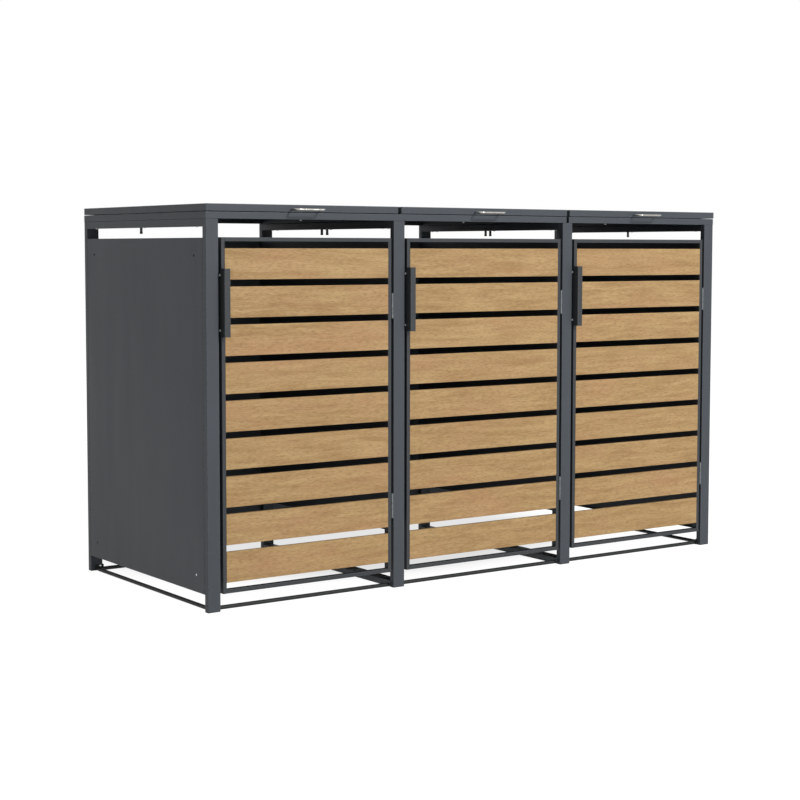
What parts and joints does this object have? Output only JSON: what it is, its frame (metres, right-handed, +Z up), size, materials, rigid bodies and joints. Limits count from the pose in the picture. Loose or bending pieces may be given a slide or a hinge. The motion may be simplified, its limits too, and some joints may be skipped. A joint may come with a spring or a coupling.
{
  "type": "wheelie bin store",
  "caption": "Steel frame store for wheelie bins side by side, with slatted oak-look doors on hinges, lifting flat lids, folded side and rear sheets, and floor bars.",
  "frame": {"origin": "on the ground, under the middle of the overall box", "axes": "+X to the right along the row of doors, seen from the front; the doors face -Y; +Z up"},
  "size_m": [1.976, 0.8392, 1.151],
  "materials": {
    "anthracite_paint": "satin powder coat",
    "oak_board": "light oak look, matt",
    "zinc_steel": "bright zinc",
    "bright_handle": "satin nickel",
    "dark_cap": "matt"
  },
  "bodies": {
    "frame": {"door_hinge_post_leaves": "zinc_steel", "floor_bars": "anthracite_paint", "foot_tabs": "anthracite_paint", "frame_screws": "zinc_steel", "front_post_1": "anthracite_paint", "front_post_2": "anthracite_paint", "front_post_3": "anthracite_paint", "front_post_4": "anthracite_paint", "front_top_rail_long": "anthracite_paint", "front_top_rail_short": "anthracite_paint", "hinge_pins": "zinc_steel", "lid_buffers": "dark_cap", "lid_hinge_rail_leaves": "zinc_steel", "partition_cross_rails": "anthracite_paint", "partition_floor_rails": "anthracite_paint", "partition_sheet_left": "anthracite_paint", "partition_sheet_right": "anthracite_paint", "partition_top_rails": "anthracite_paint", "rear_post_1": "anthracite_paint", "rear_post_2": "anthracite_paint", "rear_post_3": "anthracite_paint", "rear_post_4": "anthracite_paint", "rear_sheet_left": "anthracite_paint", "rear_sheet_middle": "anthracite_paint", "rear_sheet_right": "anthracite_paint", "rear_top_rail_long": "anthracite_paint", "rear_top_rail_short": "anthracite_paint", "side_cross_rails": "anthracite_paint", "side_sheet_left": "anthracite_paint", "side_sheet_right": "anthracite_paint", "side_top_rails": "anthracite_paint", "tie_stud_caps": "dark_cap", "tie_studs": "zinc_steel"},
    "door_left": {"door_left_frame": "anthracite_paint", "door_left_handle": "anthracite_paint", "door_left_handle_screws": "zinc_steel", "door_left_hinge_leaves": "zinc_steel", "door_left_slats": "oak_board"},
    "lid_left": {"lid_left_handle": "bright_handle", "lid_left_hinge_leaves": "zinc_steel", "lid_left_pan": "anthracite_paint", "lid_left_ribs": "anthracite_paint"},
    "door_middle": {"door_middle_frame": "anthracite_paint", "door_middle_handle": "anthracite_paint", "door_middle_handle_screws": "zinc_steel", "door_middle_hinge_leaves": "zinc_steel", "door_middle_slats": "oak_board"},
    "lid_middle": {"lid_middle_handle": "bright_handle", "lid_middle_hinge_leaves": "zinc_steel", "lid_middle_pan": "anthracite_paint", "lid_middle_ribs": "anthracite_paint"},
    "door_right": {"door_right_frame": "anthracite_paint", "door_right_handle": "anthracite_paint", "door_right_handle_screws": "zinc_steel", "door_right_hinge_leaves": "zinc_steel", "door_right_slats": "oak_board"},
    "lid_right": {"lid_right_handle": "bright_handle", "lid_right_hinge_leaves": "zinc_steel", "lid_right_pan": "anthracite_paint", "lid_right_ribs": "anthracite_paint"}
  },
  "joints": [
    {"name": "door_left_swing", "type": "hinge", "parent": "frame", "child": "door_left", "pos_m": [-0.35568, -0.37912, 0.5535], "axis": [0, 0, 1], "range_deg": [0, 110]},
    {"name": "lid_left_lift", "type": "hinge", "parent": "frame", "child": "lid_left", "pos_m": [-0.66267, 0.41587, 1.12975], "axis": [-1, 0, 0], "range_deg": [0, 100]},
    {"name": "door_middle_swing", "type": "hinge", "parent": "frame", "child": "door_middle", "pos_m": [0.30698, -0.37912, 0.5535], "axis": [0, 0, 1], "range_deg": [0, 110]},
    {"name": "lid_middle_lift", "type": "hinge", "parent": "frame", "child": "lid_middle", "pos_m": [0, 0.41587, 1.12975], "axis": [-1, 0, 0], "range_deg": [0, 100]},
    {"name": "door_right_swing", "type": "hinge", "parent": "frame", "child": "door_right", "pos_m": [0.94365, -0.37912, 0.5535], "axis": [0, 0, 1], "range_deg": [0, 110]},
    {"name": "lid_right_lift", "type": "hinge", "parent": "frame", "child": "lid_right", "pos_m": [0.66267, 0.41587, 1.12975], "axis": [-1, 0, 0], "range_deg": [0, 100]}
  ]
}
